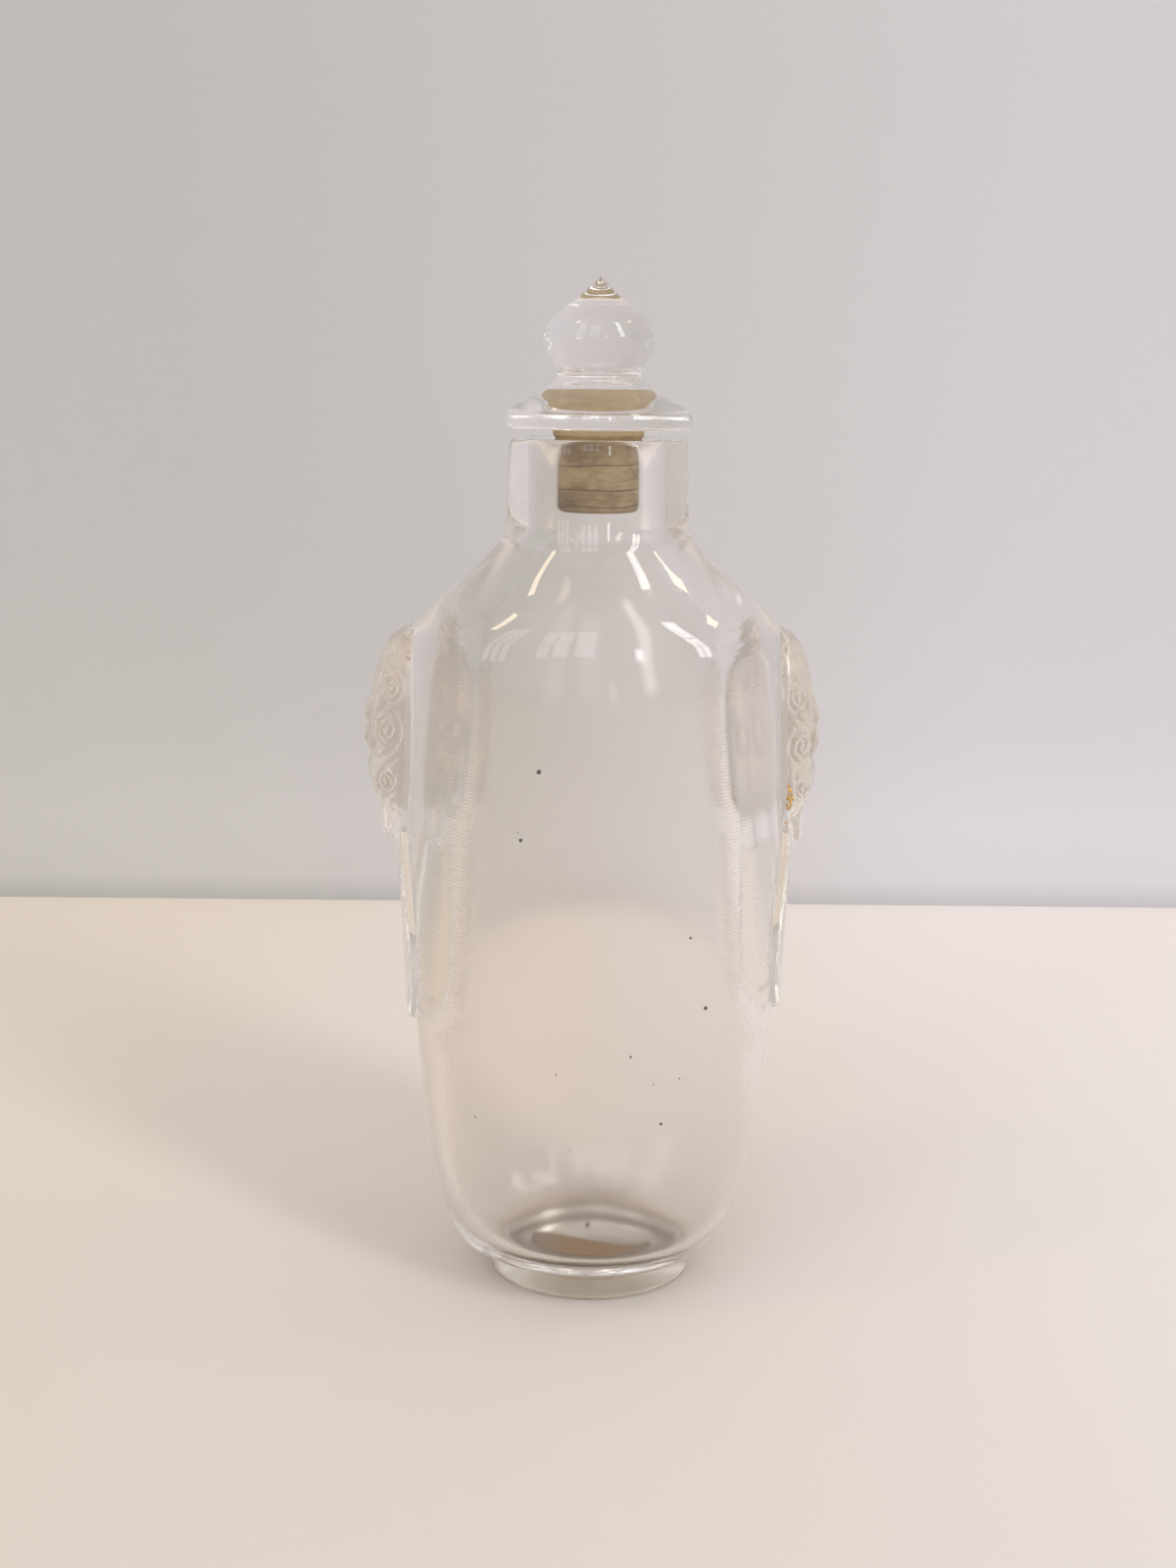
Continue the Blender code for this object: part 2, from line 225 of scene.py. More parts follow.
glass = {
    "bodyColor": (0.97, 0.953, 0.932), "bodyRoughness": 0.0, "bodyIor": 1.54, "bodyWaviness": 0.10,
    # tan band on the foot, with painted shade as a dark line at its bottom edge and at its top edge: height times
    # the foot scale, color
    "footScale": 200.0,
    "footTintShadeStops": [(0.0, (0.42, 0.33, 0.22)), (0.04, (0.52, 0.42, 0.29)), (0.08, (0.87, 0.79, 0.66)),
                  (0.31, (0.87, 0.79, 0.66)), (0.36, (0.50, 0.40, 0.27)), (0.43, (0.62, 0.52, 0.38)),
                  (0.49, (0.94, 0.90, 0.84))],
    # the carved faces' darker, warmer colors are painted shade, varied by grime noise
    "carvedShadeColor": (0.80, 0.735, 0.65), "carvedGrimeAndShade": (0.74, 0.65, 0.52), "carvedRoughness": 0.27,
    "carvedStipple": 0.06, "ringColor": (0.86, 0.82, 0.74), "ringRoughness": 0.025,
    "innerColor": (0.955, 0.94, 0.922), "innerRoughness": 0.15,
    "groovePitch": 0.00024, "grooveDepth": 0.000006, "grooveStart": 0.0068, "grooveFull": 0.0085,
    "floorColor": (0.93, 0.88, 0.80), "floorRoughness": 0.32,
    "groundColor": (0.95, 0.89, 0.80), "groundDust": (0.90, 0.82, 0.70), "groundRoughness": 0.27,
    "capColor": (0.965, 0.95, 0.945), "capRoughness": 0.0, "capIor": 1.52, "capWaviness": 0.05,
}


def clearMaterial(name, baseColor, roughness, ior):
    m, tree, shader = newMaterial(name, baseColor, roughness)
    shader.inputs["Transmission Weight"].default_value = 1.0
    shader.inputs["IOR"].default_value = ior
    return m, tree, shader


def bodyGlass(g):
    m, tree, shader = clearMaterial("polishedCrystal", g["bodyColor"], g["bodyRoughness"], g["bodyIor"])
    split = splitCoords(tree)                           # the foot is tinted tan, with painted shade lines at its two edges, fading out above it
    height = mathNode(tree, "MULTIPLY", split.outputs["Z"], g["footScale"])
    tint = ramp(tree, height, g["footTintShadeStops"] + [(0.66, g["bodyColor"])])
    tree.links.new(tint, shader.inputs["Base Color"])
    wave = noise(tree, objectCoords(tree, (90, 90, 40)), 1.0, 2.0)  # slow hand-polished waviness
    addBump(tree, shader, wave, g["bodyWaviness"], 0.001)
    return m


def carvedGlass(g):
    m, tree, shader = clearMaterial("carvedCrystal", g["carvedShadeColor"], g["carvedRoughness"], g["bodyIor"])
    # the carved faces are tinted darker and warmer as painted shade, with grime noise between the two tones
    grime = noise(tree, objectCoords(tree), 900.0, 4.0)
    tint = ramp(tree, grime, [(0.35, g["carvedShadeColor"]), (0.75, g["carvedGrimeAndShade"])])
    tree.links.new(tint, shader.inputs["Base Color"])
    addBump(tree, shader, noise(tree, objectCoords(tree), 1500.0, 2.0), g["carvedStipple"], 0.00004)
    return m


def ringGlass(g):
    # the mock rings are carved and smoothed, but not polished like the body
    return clearMaterial("smoothedCrystal", g["ringColor"], g["ringRoughness"], g["bodyIor"])[0]


def innerGlass(g):
    # the hollow's narrow sides keep the fine level grooves of the boring tool
    m, tree, shader = clearMaterial("boredCrystal", g["innerColor"], g["innerRoughness"], g["bodyIor"])
    wave = addNode(tree, "ShaderNodeTexWave", wave_type="BANDS", bands_direction="Z")
    wave.inputs["Scale"].default_value = math.pi / (10 * g["groovePitch"])
    wave.inputs["Distortion"].default_value = 1.2
    tree.links.new(objectCoords(tree), wave.inputs["Vector"])
    split = splitCoords(tree)
    aside = mathNode(tree, "ABSOLUTE", split.outputs["X"])
    atSide = mapRange(tree, aside, g["grooveStart"], g["grooveFull"], interpolation_type="SMOOTHSTEP")
    grooves = mathNode(tree, "MULTIPLY", wave.outputs["Fac"], atSide)
    addBump(tree, shader, grooves, 0.5, g["grooveDepth"])
    return m


def dustyGlass(g):
    # the hollow's floor under a thin film of snuff dust
    return clearMaterial("dustyCrystal", g["floorColor"], g["floorRoughness"], g["bodyIor"])[0]


def groundGlass(g):
    # the underside of the foot is ground, not polished, and holds old dust
    m, tree, shader = clearMaterial("groundCrystal", g["groundColor"], g["groundRoughness"], g["bodyIor"])
    dust = noise(tree, objectCoords(tree), 700.0, 4.0)
    tint = ramp(tree, dust, [(0.35, g["groundColor"]), (0.70, g["groundDust"])])
    tree.links.new(tint, shader.inputs["Base Color"])
    return m


def capGlass(g):
    m, tree, shader = clearMaterial("capCrystal", g["capColor"], g["capRoughness"], g["capIor"])
    addBump(tree, shader, noise(tree, objectCoords(tree), 300.0, 2.0), g["capWaviness"], 0.0005)
    return m


# sizes in metres; each profile lists (share of the height, share of the largest half width)
bottle = {
    "lipHeight": 0.0625, "bodyHalfWidth": 0.01355, "bodyHalfDepth": 0.0103, "squareness": 2.4,
    "lowerLean": 0.00035,
    "neckLength": 0.0068, "neckRadius": 0.0062, "neckFlare": 0.0003, "lipRadius": 0.00605, "lipRounding": 0.00035,
    "footHeight": 0.0021, "footHalfWidth": 0.0076, "footHalfDepth": 0.0057, "footRim": 0.0016,
    "footChamfer": 0.0002, "footRecess": 0.0004, "recessSlope": 0.0012,
    "sideWall": 0.0027, "faceWall": 0.0020, "baseThickness": 0.0034, "hollowShift": 0.0002,
    "boreRadius": 0.0031, "boreLength": 0.0062, "mouthChamfer": 0.00015,
    "bodyProfile": (
        (0.012, 0.678), (0.04, 0.763), (0.09, 0.835), (0.17, 0.898), (0.33, 0.958), (0.50, 0.987),
        (0.65, 1.0), (0.80, 0.993), (0.86, 0.966), (0.89, 0.932), (0.911, 0.864), (0.955, 0.660)),
    "hollowWidths": (
        (0.0, 0.50), (0.0056, 0.64), (0.019, 0.765), (0.049, 0.865), (0.107, 0.94), (0.20, 0.985),
        (0.316, 1.0), (0.465, 0.985), (0.60, 0.95), (0.695, 0.92), (0.786, 0.888), (0.83, 0.872),
        (0.86, 0.822), (0.881, 0.737), (0.904, 0.631), (0.9225, 0.544), (0.949, 0.438), (0.972, 0.359),
        (0.987, 0.313)),
    "hollowDepths": (
        (0.0, 0.56), (0.0056, 0.68), (0.019, 0.78), (0.049, 0.828), (0.107, 0.864), (0.20, 0.91),
        (0.316, 0.947), (0.465, 0.98), (0.60, 0.998), (0.695, 1.0), (0.786, 0.99), (0.83, 0.955),
        (0.86, 0.90), (0.881, 0.845), (0.904, 0.765), (0.9225, 0.685), (0.949, 0.565), (0.972, 0.46),
        (0.987, 0.40)),
    "leanProfile": ((0.0, 0.0), (0.02, 0.9), (0.035, 1.0), (0.08, 0.35), (0.25, 0.2), (0.34, 0.0)),
}
handles = {
    "maskTop": 0.0498, "maskBottom": 0.0365, "maskHalfWidth": 0.0046, "maskCrest": 0.0017,
    "maskRelief": {-1: 0.00255, 1: 0.00205}, "ringBottom": {-1: 0.0206, 1: 0.0217},
    "ringHalfWidth": 0.0042, "ringRelief": 0.00062, "ringBand": 0.0013, "ringSink": 0.0003, "ringTip": 0.0013,
    "knobHeight": 0.0023, "knobHalfWidth": 0.0017, "knobShare": 0.68,      # share of the mask's relief
    "ringRounding": 0.0003, "knobRounding": 0.0004, "maskRounding": 0.0005,
    "maskProfile": (
        (0.0, 0.48), (0.04, 0.60), (0.14, 0.90), (0.25, 0.95), (0.306, 0.90), (0.36, 0.96),
        (0.48, 1.0), (0.62, 0.93), (0.75, 0.80), (0.85, 0.69), (0.94, 0.50), (1.0, 0.04)),
    # scroll curls on the flanks: distance in from the flank's root, height, radius, pitch, turn direction
    "curls": {
        -1: [(0.00150, 0.0461, 0.00100, 0.00046, 1), (0.00190, 0.0430, 0.00125, 0.00052, -1),
             (0.00190, 0.0393, 0.00070, 0.00040, 1)],
        1: [(0.00140, 0.0455, 0.00090, 0.00046, -1), (0.00175, 0.0421, 0.00115, 0.00052, 1),
            (0.00175, 0.0389, 0.00065, 0.00040, -1)]},
    "curlDepth": 0.00008, "lockDepth": 0.00005, "lockPitch": 0.00095,
    "beardDepth": 0.00008, "eyeRingDepth": 0.00012, "pupilDepth": 0.00010,
    # eye, nostril, ear and jowl: share of the half width, share of the height, reach, rise
    "eye": (0.42, 0.41), "roundForms": ((0.42, 0.41, 0.25, 0.12), (0.13, 0.21, 0.09, -0.06),
                                        (0.78, 0.63, 0.28, 0.06), (0.74, 0.20, 0.28, 0.06)),
    # muzzle, mouth corner, horn and temple: share of the half width, its reach, share of the height, its reach, rise
    "longForms": ((0.0, 0.30, 0.23, 0.12, 0.10), (0.30, 0.12, 0.17, 0.05, -0.10),
                  (0.0, 0.18, 0.78, 0.16, 0.05), (0.34, 0.14, 0.74, 0.14, -0.06)),
    "tallness": 3.4,                                    # how far round forms are drawn out sideways
    "flankPower": 3.2, "flankFall": 0.4,
}
meshFineness = {"handleColumns": 40, "fineFactor": 3, "faceColumns": 36, "maskRows": 190, "hollowRows": 44}


def bodySection(z, b=bottle):
    neckBase = b["lipHeight"] - b["neckLength"]
    baseRadius = b["neckRadius"] + b["neckFlare"]
    neck = smoothCurve((
        (neckBase, baseRadius), (neckBase + 0.25 * b["neckLength"], b["neckRadius"] + 0.2 * b["neckFlare"]),
        (neckBase + 0.5 * b["neckLength"], b["neckRadius"]), (b["lipHeight"], b["lipRadius"])), z)
    share = (z - b["footHeight"]) / (neckBase - b["footHeight"])
    footWidth, neckWidth = b["footHalfWidth"] / b["bodyHalfWidth"], baseRadius / b["bodyHalfWidth"]
    width = smoothCurve(((0.0, footWidth),) + b["bodyProfile"] + ((1.0, neckWidth),), share)
    lower = share < 0.65
    depth = np.where(lower, stretch(width, footWidth, b["footHalfDepth"] / b["bodyHalfDepth"]),
                     stretch(width, neckWidth, baseRadius / b["bodyHalfDepth"]))
    roundness = np.where(lower, stretch(width, footWidth, 0.0), stretch(width, neckWidth, 0.0))
    squareness = 2 + (b["squareness"] - 2) * roundness
    onNeck = z >= neckBase
    return (np.where(onNeck, neck, b["bodyHalfWidth"] * width),
            np.where(onNeck, neck, b["bodyHalfDepth"] * depth), np.where(onNeck, 2.0, squareness))


def bodyLean(z, b=bottle):
    share = (z - b["footHeight"]) / (b["lipHeight"] - b["neckLength"] - b["footHeight"])
    return -b["lowerLean"] * smoothCurve(b["leanProfile"], share)


def hollowSection(z, b=bottle):
    roof = b["lipHeight"] - b["boreLength"]
    halfWidth, halfDepth = b["bodyHalfWidth"] - b["sideWall"], b["bodyHalfDepth"] - b["faceWall"]
    share = (z - b["baseThickness"]) / (roof - b["baseThickness"])
    boreWidth = b["boreRadius"] / halfWidth
    width = smoothCurve(b["hollowWidths"] + ((1.0, boreWidth),), share)
    depth = smoothCurve(b["hollowDepths"] + ((1.0, b["boreRadius"] / halfDepth),), share)
    roundness = stretch(width, boreWidth, 0.0)
    return halfWidth * width, halfDepth * depth, 2.0, b["hollowShift"] * roundness


def handleHalfWidth(z, ringBottom, h=handles, b=bottle):
    ringLength, maskLength = h["maskBottom"] - ringBottom, h["maskTop"] - h["maskBottom"]
    ring, mask, low, top = h["ringHalfWidth"], h["maskHalfWidth"], h["maskBottom"], h["maskTop"]
    return smoothCurve((
        (0.0, 0.35 * b["footHalfDepth"]), (ringBottom - 0.3 * ringLength, 0.6 * ring), (ringBottom, h["ringTip"]),
        (ringBottom + 0.06 * ringLength, 0.62 * ring), (ringBottom + 0.2 * ringLength, 0.9 * ring),
        (ringBottom + 0.5 * ringLength, ring), (low, 0.8 * ring), (low + 0.13 * maskLength, 0.9 * mask),
        (low + 0.3 * maskLength, mask), (low + 0.66 * maskLength, mask), (low + 0.88 * maskLength, 0.76 * mask),
        (top, h["maskCrest"]), (top + 0.3 * maskLength, 0.4 * b["neckRadius"]),
        (b["lipHeight"], 0.4 * b["neckRadius"])), z)


def eyeDistance(across, up, h=handles):
    return np.hypot(across - h["eye"][0], h["tallness"] * (up - h["eye"][1]))


def maskHeight(y, z, relief, h=handles):
    # crown, brows, eyes, muzzle, jaw and the mane's lobes, over the body
    up = (z - h["maskBottom"]) / (h["maskTop"] - h["maskBottom"])
    across = np.abs(y) / h["maskHalfWidth"]
    height = smoothCurve(h["maskProfile"], up) + 0 * across
    brow = bump(across - 0.45 - 0.5 * (up - 0.5), 0.20) * bump(up - 0.56, 0.14)      # slants up and out
    height += 0.11 * brow
    height -= 0.05 * bump(eyeDistance(across, up) - 0.30, 0.08)     # groove round the eye
    for middle, level, reach, rise in h["roundForms"]:
        height += rise * bump(np.hypot(across - middle, h["tallness"] * (up - level)), reach)
    for middle, wide, level, tall, rise in h["longForms"]:
        height += rise * bump(across - middle, wide) * bump(up - level, tall)
    return relief * height * roundOver(z - h["maskBottom"], h["maskRounding"])


def handleRelief(v, z, side, h=handles):
    relief, ringBottom = h["maskRelief"][side], h["ringBottom"][side]
    halfWidth = handleHalfWidth(z, ringBottom)
    y = v * halfWidth
    edge = np.minimum(halfWidth - np.abs(y), z - ringBottom)
    ring = h["ringRelief"] * roundOver(edge, h["ringRounding"])
    underKnob = z < h["maskBottom"] - h["knobHeight"]
    ring = ring - h["ringSink"] * easeIn(edge, h["ringBand"], 1.5 * h["ringBand"]) * underKnob
    knobEdge = np.minimum(z - (h["maskBottom"] - h["knobHeight"]), 1.0)
    knobRound = 1 - np.minimum(np.abs(y) / h["knobHalfWidth"], 1.0) ** 3
    knob = h["knobShare"] * relief * knobRound * roundOver(knobEdge, h["knobRounding"])
    below = np.maximum(ring, knob)
    flank = (1 - np.minimum(np.abs(v), 1.0) ** h["flankPower"]) ** h["flankFall"]
    crown = maskHeight(y, z, relief) * flank * roundOver(h["maskTop"] - z, h["maskRounding"])
    underCrown = np.where(z < h["maskBottom"] + 0.0004, below, 0.0)
    out = np.where(z < h["maskBottom"], below, np.maximum(crown, underCrown))
    return np.where((z > h["maskTop"]) | (z < ringBottom), 0.0, out)


def handleShares(count, h=handles):
    # column places that are evenly spaced along the mask's own outline
    v = np.linspace(-1, 1, 4001)
    x = 0.65 * (1 - np.abs(v) ** h["flankPower"]) ** h["flankFall"]
    length = np.concatenate(([0], np.cumsum(np.hypot(np.diff(v), np.diff(x)))))
    return np.interp(np.linspace(0, length[-1], count + 1), length, v)


def ovalRows(z, section, columns, faceColumns, relief=None, shift=0.0):
    # rows of points round the bottle: right handle, back face, left handle, front face
    halfWidth, halfDepth, squareness = (np.broadcast_to(s, z.shape)[:, None] for s in section)
    shift = np.broadcast_to(shift, z.shape)[:, None]        # sideways lean of each row
    zs = z[:, None]
    v = handleShares(columns)[None, :]

    def sidePoints(side):
        reach = np.minimum(handleHalfWidth(zs, handles["ringBottom"][side]), 0.62 * halfDepth)
        y = side * v * reach
        x = halfWidth * (1 - (np.abs(y) / halfDepth) ** squareness) ** (1 / squareness)
        if relief is not None:
            x = x + relief(v, zs, side)
        return np.stack(np.broadcast_arrays(side * x + shift, y, zs), -1), reach

    def facePoints(side, reachStart, reachEnd):
        start = np.arcsin((reachStart / halfDepth) ** (squareness / 2))
        end = np.arcsin((reachEnd / halfDepth) ** (squareness / 2))
        k = np.arange(1, faceColumns)[None, :] / faceColumns
        angle = start + (math.pi - start - end) * k
        x = halfWidth * np.copysign(np.abs(np.cos(angle)) ** (2 / squareness), np.cos(angle))
        y = side * halfDepth * np.sin(angle) ** (2 / squareness)
        return np.stack(np.broadcast_arrays(side * x + shift, y, zs), -1)

    right, reachRight = sidePoints(1)
    left, reachLeft = sidePoints(-1)
    back, front = facePoints(1, reachRight, reachLeft), facePoints(-1, reachLeft, reachRight)
    return np.concatenate([right, back, left, front], 1)


def carveMasks(grid, columns, h=handles):
    # cuts scroll curls, mane locks and beard strokes along the surface normal
    down = np.gradient(grid, axis=0)
    around = np.roll(grid, -1, 1) - np.roll(grid, 1, 1)
    normal = np.cross(around, down)
    normal /= np.linalg.norm(normal, axis=2, keepdims=True) + 1e-12
    weights = np.zeros(grid.shape[:2])
    starts = {1: 0, -1: columns + 1 + meshFineness["faceColumns"] - 1}
    for side, first in starts.items():
        part = grid[:, first:first + columns + 1]
        steps = np.linalg.norm(np.diff(part, axis=1), axis=2)
        along = np.concatenate([np.zeros((len(part), 1)), np.cumsum(steps, 1)], 1)
        inward = np.minimum(along, along[:, -1:] - along)   # distance in from the flank's root
        y, z = part[:, :, 1], part[:, :, 2]
        up = (z - h["maskBottom"]) / (h["maskTop"] - h["maskBottom"])
        cut, cover = np.zeros(z.shape), np.zeros(z.shape)
        for inPlace, height, radius, pitch, turn in h["curls"][side]:
            dx, dz = inward - inPlace, z - height
            r, angle = np.hypot(dx, dz * 0.9), np.arctan2(dz, dx)
            groove = 0.5 - 0.5 * np.cos(2 * math.pi * (r / pitch - turn * angle / (2 * math.pi)))
            inside = 1 - easeIn(r, radius * 0.86, radius)
            rim = np.exp(-((r - radius) / 0.00009) ** 2)
            cut -= h["curlDepth"] * (groove * inside + 0.9 * rim)
            cover = np.maximum(cover, 1 - easeIn(r, radius, radius + 0.0001))
        # locks of hair that sweep back from the face between the curls
        sweep = np.sin(2 * math.pi * (z * 0.8 + inward * 0.75 + 0.0002 * np.sin(z * 2600)) / h["lockPitch"])
        zone = easeIn(inward, 0.0008, 0.0012) * (1 - easeIn(inward, 0.0030, 0.0036)) * (1 - cover)
        cut -= h["lockDepth"] * (0.5 + 0.5 * sweep) * zone * easeIn(up, 0.02, 0.08) * (1 - easeIn(up, 0.86, 0.95))
        # beard strokes under the mouth and a ring round each eye
        across = np.abs(y) / h["maskHalfWidth"]
        cut -= h["beardDepth"] * (0.5 + 0.5 * np.cos(across * 26)) * bump(up - 0.05, 0.07) * (across < 0.75)
        eye = eyeDistance(across, up)
        cut -= h["eyeRingDepth"] * np.exp(-((eye - 0.26) / 0.035) ** 2) * (inward > 0.0030)
        cut -= h["pupilDepth"] * np.exp(-((eye - 0.08) / 0.03) ** 2) * (inward > 0.0030)
        fade = easeIn(inward, 0.00035, 0.0008) * easeIn(z, h["maskBottom"] + 0.0001, h["maskBottom"] + 0.0006)
        fade = fade * (1 - easeIn(z, h["maskTop"] - 0.0007, h["maskTop"] - 0.0001))
        grid[:, first:first + columns + 1] += normal[:, first:first + columns + 1] * (cut * fade)[:, :, None]
        weights[:, first:first + columns + 1] = easeIn(inward, 0.0003, 0.0007) * (up > 0) * (up < 0.985)
    return weights


def bottleGrids(b=bottle, h=handles, m=meshFineness):
    neckBase = b["lipHeight"] - b["neckLength"]
    belly = b["footHeight"] + 0.17 * (neckBase - b["footHeight"])
    lowTip, highTip = sorted(h["ringBottom"].values())
    knobBottom = h["maskBottom"] - h["knobHeight"]
    coarse, fine = m["handleColumns"], m["handleColumns"] * m["fineFactor"]

    def plain(z, section, relief=None, shift=0.0, columns=coarse):
        return ovalRows(np.atleast_1d(np.asarray(z, float)), section, columns, m["faceColumns"], relief, shift)

    def footRow(inset, z):
        return plain(z, (b["footHalfWidth"] - inset, b["footHalfDepth"] - inset, 2.0))

    lower = np.concatenate([
        b["footHeight"] + (belly - b["footHeight"]) * (np.arange(16) / 16) ** 1.6,
        np.linspace(belly, lowTip - 0.0001, 10, endpoint=False),
        np.linspace(lowTip - 0.0001, lowTip + 0.0005, 9, endpoint=False),
        np.linspace(lowTip + 0.0005, highTip - 0.0001, 4, endpoint=False),
        np.linspace(highTip - 0.0001, highTip + 0.0005, 9, endpoint=False),
        np.linspace(highTip + 0.0005, knobBottom - 0.0002, 60, endpoint=False),
        np.linspace(knobBottom - 0.0002, knobBottom + 0.0005, 10, endpoint=False)])
    masks = np.linspace(knobBottom + 0.0005, h["maskTop"] + 0.0002, m["maskRows"])
    upper = np.concatenate([
        np.linspace(h["maskTop"] + 0.0005, neckBase, 20, endpoint=False),
        np.linspace(neckBase, b["lipHeight"] - b["lipRounding"], 10, endpoint=False)])
    foot = np.concatenate([
        footRow(b["footRim"] + b["recessSlope"], b["footRecess"]), footRow(b["footRim"], 0.0),
        footRow(b["footChamfer"], 0.0), footRow(0.3 * b["footChamfer"], 0.3 * b["footChamfer"]),
        footRow(0.0, b["footChamfer"])])
    lip = []
    for turn in np.linspace(0, math.pi / 2, 7):
        radius = b["lipRadius"] - b["lipRounding"] * (1 - math.cos(turn))
        lip.append(plain(b["lipHeight"] - b["lipRounding"] * (1 - math.sin(turn)), (radius, radius, 2.0)))
    roof = b["lipHeight"] - b["boreLength"]
    radius, mouth = b["boreRadius"], b["lipHeight"]
    bore = [plain(z, (r, r, 2.0)) for r, z in (
        (radius + b["mouthChamfer"], mouth), (radius, mouth - b["mouthChamfer"]),
        (radius, mouth - 0.33 * b["boreLength"]), (radius, mouth - 0.67 * b["boreLength"]),
        (radius, roof + 0.0002))]
    share = 0.5 + 0.5 * np.cos(math.pi * np.arange(0, m["hollowRows"] + 1) / m["hollowRows"])
    deep = b["baseThickness"] + (roof - b["baseThickness"]) * share
    *section, shift = hollowSection(deep)
    below = np.concatenate([foot, plain(lower, bodySection(lower), handleRelief, bodyLean(lower))])
    middle = plain(masks, bodySection(masks), handleRelief, columns=fine)
    weights = carveMasks(middle, fine)
    outer = np.concatenate([plain(upper, bodySection(upper), handleRelief)] + lip + bore)
    inner = plain(deep, section, shift=shift)
    return below, middle, weights, np.concatenate([outer, inner]), len(outer)


def buildBottle(m=meshFineness):
    below, middle, weights, above, outerRows = bottleGrids()
    inset = 0.00002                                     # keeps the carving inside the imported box
    for grid in (middle, below):
        grid[:, :, 0] = np.clip(grid[:, :, 0], cadBox[0][0] + inset, cadBox[1][0] - inset)
    coarse, factor, faceCount = m["handleColumns"], m["fineFactor"], m["faceColumns"] - 1
    fineIndex = []                                      # the fine column that each coarse column meets
    for first in (0, coarse * factor + 1 + faceCount):
        fineIndex += [first + factor * k for k in range(coarse + 1)]
        fineIndex += [first + factor * coarse + 1 + k for k in range(faceCount)]
    points, faces, slots = [], [], []
    polished, carved, bored, ground, dusty, smoothed = range(6)     # material slots, in the order used below

    def addGrid(grid, slotOf):
        base = len(points)
        rows, count = grid.shape[:2]
        points.extend(grid.reshape(-1, 3).tolist())
        for r in range(rows - 1):
            for c in range(count):
                d = (c + 1) % count
                a = base + r * count
                faces.append((a + c, a + d, a + count + d, a + count + c))
                slots.append(slotOf(r, c))
        return base, count

    def onRing(r, c):
        side, column = (1, c) if c <= coarse else (-1, c - coarse - 1 - faceCount)
        return 1 < column < coarse - 2 and below[r, c, 2] > handles["ringBottom"][side]

    def hollowSlot(r, c):
        onFloor = above[r, 0, 2] < bottle["baseThickness"] + 0.0005
        return polished if r < outerRows - 5 else dusty if onFloor else bored

    base1, count1 = addGrid(below, lambda r, c: ground if r < 2 else smoothed if onRing(r, c) else polished)
    base2, count2 = addGrid(middle, lambda r, c: carved if weights[r, c] > 0.5 else polished)
    base3, count3 = addGrid(above, hollowSlot)
    lastBelow, firstMiddle = base1 + (len(below) - 1) * count1, base2
    lastMiddle, firstAbove = base2 + (len(middle) - 1) * count2, base3

    def bridge(coarseRow, fineRow, coarseIsLower):
        for c in range(count1):
            d = (c + 1) % count1
            stop = fineIndex[d] if d else count2
            run = [fineRow + (k % count2) for k in range(fineIndex[c], stop + 1)]
            face = [coarseRow + c, coarseRow + d] + run[::-1]
            faces.append(tuple(face if coarseIsLower else face[::-1]))
            slots.append(polished)

    bridge(lastBelow, firstMiddle, True)
    bridge(firstAbove, lastMiddle, False)
    faces.append(tuple(range(base1 + count1 - 1, base1 - 1, -1)))
    lastAbove = base3 + (len(above) - 1) * count3
    faces.append(tuple(range(lastAbove, lastAbove + count3)))
    slots += [ground, dusty]
    finishes = [make(glass) for make in (bodyGlass, carvedGlass, innerGlass, groundGlass, dustyGlass, ringGlass)]
    obj = meshObject("bottleGlass", points, faces, finishes)
    obj.data.polygons.foreach_set("material_index", slots)
    obj.data.set_sharp_from_angle(angle=math.radians(50))
    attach(obj, "root")
    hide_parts("bottle")
    return obj


bottlePiece = buildBottle()
print("bottle", len(bottlePiece.data.vertices), "points")


# brown residue of old snuff, dried on the front half of the hollow's floor
residue = {
    "span": (-0.0047, 0.0046),
    "backEdge": ((-0.0047, -0.0001), (-0.0030, -0.0004), (0.0005, -0.0016), (0.0030, -0.0021), (0.0046, -0.0015)),
    "frontEdge": 0.0046, "floorWidth": 0.0055, "lift": 0.00010, "thickness": 0.00010,
    "color": (0.50, 0.30, 0.14), "pale": (0.46, 0.36, 0.27),
}


def residueMaterial(r=residue):
    m, tree, shader = newMaterial("driedSnuff", r["color"], 0.75)
    split = splitCoords(tree, (100.0, 100.0, 100.0))
    away = mathNode(tree, "ABSOLUTE", split.outputs["X"])           # it is paler towards both ends
    stain = mathNode(tree, "MULTIPLY_ADD", noise(tree, objectCoords(tree), 500.0, 4.0), 0.35, away)
    tree.links.new(ramp(tree, stain, [(0.30, r["color"]), (0.62, r["pale"])]), shader.inputs["Base Color"])
    return m


